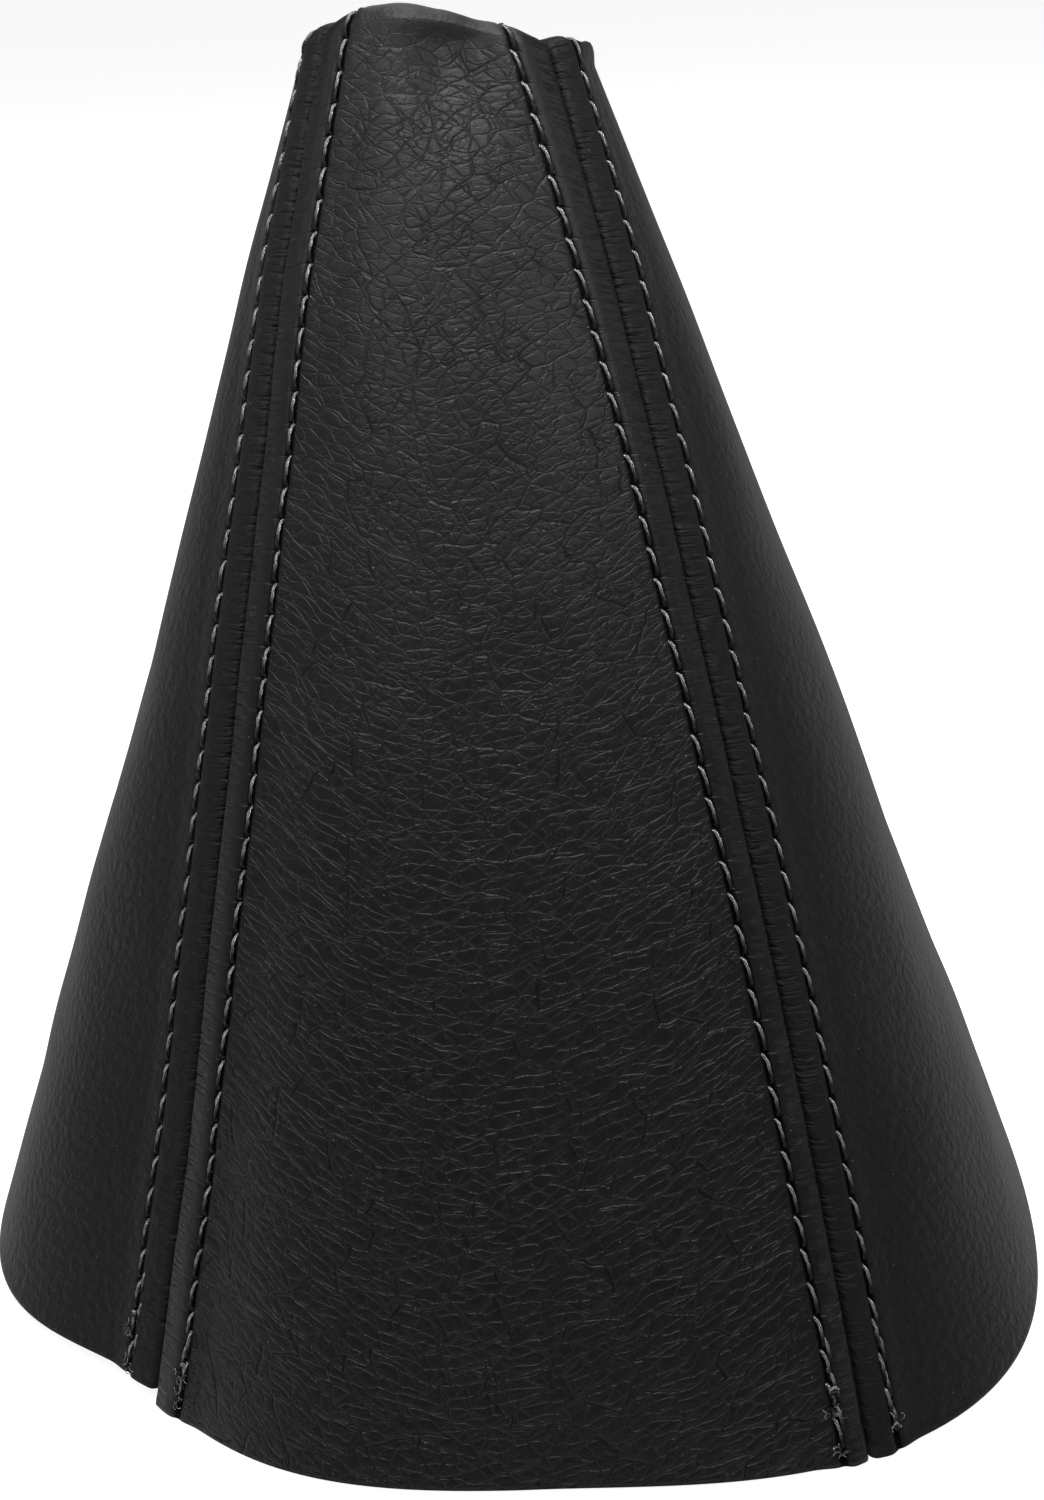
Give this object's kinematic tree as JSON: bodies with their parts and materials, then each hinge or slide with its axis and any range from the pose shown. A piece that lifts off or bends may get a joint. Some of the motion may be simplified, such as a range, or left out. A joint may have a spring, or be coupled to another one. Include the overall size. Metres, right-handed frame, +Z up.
{
  "type": "gear lever gaiter",
  "caption": "Tapered black leatherette sleeve that closes the gap round a gear lever, with a turned-in neck, double-topstitched seams and a wide open base.",
  "frame": {"origin": "on the plane of the cut base edge, at the centre of the gaiter's box seen in plan", "axes": "+Z up from the base to the neck, along the gear lever; -Y is the front, the side the picture shows; +X is the viewer's right"},
  "size_m": [0.1578, 0.167, 0.1767],
  "materials": {
    "leatherette": "grained, soft satin",
    "thread": "twisted polyester, slight sheen"
  },
  "bodies": {
    "root": {"front_panel": "leatherette", "right_panel": "leatherette", "rear_panel": "leatherette", "left_panel": "leatherette", "topstitch_front_left_a": "thread", "topstitch_front_left_b": "thread", "joining_stitch_front_left": "thread", "topstitch_front_right_a": "thread", "topstitch_front_right_b": "thread", "joining_stitch_front_right": "thread", "topstitch_rear_right_a": "thread", "topstitch_rear_right_b": "thread", "joining_stitch_rear_right": "thread", "topstitch_rear_left_a": "thread", "topstitch_rear_left_b": "thread", "joining_stitch_rear_left": "thread"}
  },
  "joints": []
}
